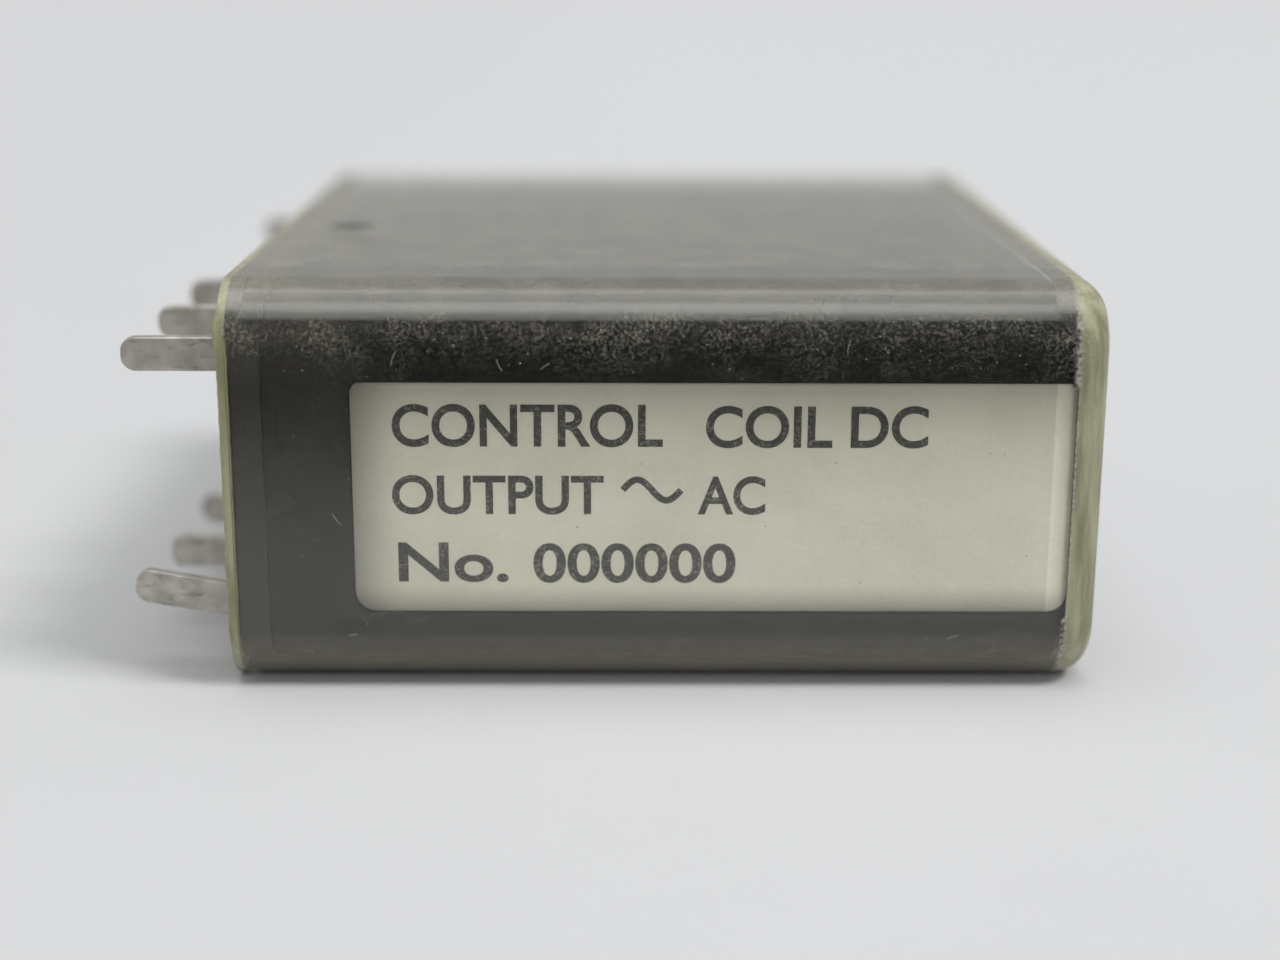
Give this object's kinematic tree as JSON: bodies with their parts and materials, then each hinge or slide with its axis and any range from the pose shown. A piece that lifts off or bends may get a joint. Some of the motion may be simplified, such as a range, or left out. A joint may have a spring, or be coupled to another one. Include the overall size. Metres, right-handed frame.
{
  "type": "plug-in relay",
  "caption": "Small plug-in relay in a clear cover: a hinged armature drives a comb that moves the changeover contacts together.",
  "frame": {"origin": "centre of the seating face, where the pins come out", "axes": "+X from the seating face to the closed end of the cover (pins point to -X), +Y from the label side to the coil side, +Z through the thickness"},
  "size_m": [0.0286, 0.0296, 0.012],
  "materials": {
    "clear_cover": "gloss",
    "black_plastic": "satin",
    "paper_label": "matte",
    "resin": "gloss",
    "cream_plastic": "matte",
    "comb_plastic": "satin",
    "tinned_copper": "satin",
    "contact_metal": "gloss",
    "spring_bronze": "satin",
    "spring_steel": "satin",
    "magnet_iron": "satin",
    "shim_brass": "satin",
    "copper_wire": "satin",
    "coil_wrap": "satin",
    "solder": "satin"
  },
  "bodies": {
    "housing": {"cover": "clear_cover", "inner_sleeve": "black_plastic", "label": "paper_label", "base_plate": "black_plastic", "sealing_resin": "resin", "contact_divider": "cream_plastic", "spring_rivets": "spring_steel", "retaining_spring": "spring_steel", "retaining_spring_rivets": "spring_steel", "yoke": "magnet_iron", "core": "magnet_iron", "coil_bobbin": "cream_plastic", "coil_winding": "copper_wire", "coil_tape": "coil_wrap", "coil_solder": "solder", "no_terminal_upper": "tinned_copper", "no_terminal_lower": "tinned_copper", "com_terminal_upper": "tinned_copper", "com_terminal_lower": "tinned_copper", "nc_terminal_upper": "tinned_copper", "nc_terminal_lower": "tinned_copper", "coil_terminal_upper": "tinned_copper", "coil_terminal_lower": "tinned_copper", "no_contact_upper": "contact_metal", "no_contact_lower": "contact_metal", "nc_contact_upper": "contact_metal", "nc_contact_lower": "contact_metal", "coil_lead_upper": "copper_wire", "coil_lead_lower": "copper_wire"},
    "armature_unit": {"armature": "magnet_iron", "anti_stick_shim": "shim_brass"},
    "comb": {"actuator_comb": "comb_plastic"},
    "contact_spring_upper": {"moving_spring_upper": "spring_bronze", "moving_contact_upper": "contact_metal"},
    "contact_spring_lower": {"moving_spring_lower": "spring_bronze", "moving_contact_lower": "contact_metal"}
  },
  "joints": [
    {"name": "armature_pivot", "type": "hinge", "parent": "housing", "child": "armature_unit", "pos_m": [0.02123, 0.00139, 0], "axis": [0, 0, 1], "range_deg": [0, 8.4], "stiffness_Nm_per_rad": 0.0015, "springref_deg": -5.73},
    {"name": "comb_slide", "type": "slide", "parent": "housing", "child": "comb", "axis": [0, -1, 0], "range_m": [0, 0.0007]},
    {"name": "spring_flex_upper", "type": "hinge", "parent": "housing", "child": "contact_spring_upper", "pos_m": [0.00522, -0.00836, 0.00235], "axis": [0, 0, -1], "range_deg": [0, 3.57]},
    {"name": "spring_flex_lower", "type": "hinge", "parent": "housing", "child": "contact_spring_lower", "pos_m": [0.00522, -0.00836, -0.00235], "axis": [0, 0, -1], "range_deg": [0, 3.57]}
  ],
  "couplings": [
    {"joint": "comb_slide", "follows": "armature_pivot", "m_per_rad": 0.004774},
    {"joint": "spring_flex_upper", "follows": "armature_pivot", "ratio": 0.4255},
    {"joint": "spring_flex_lower", "follows": "armature_pivot", "ratio": 0.4255}
  ]
}
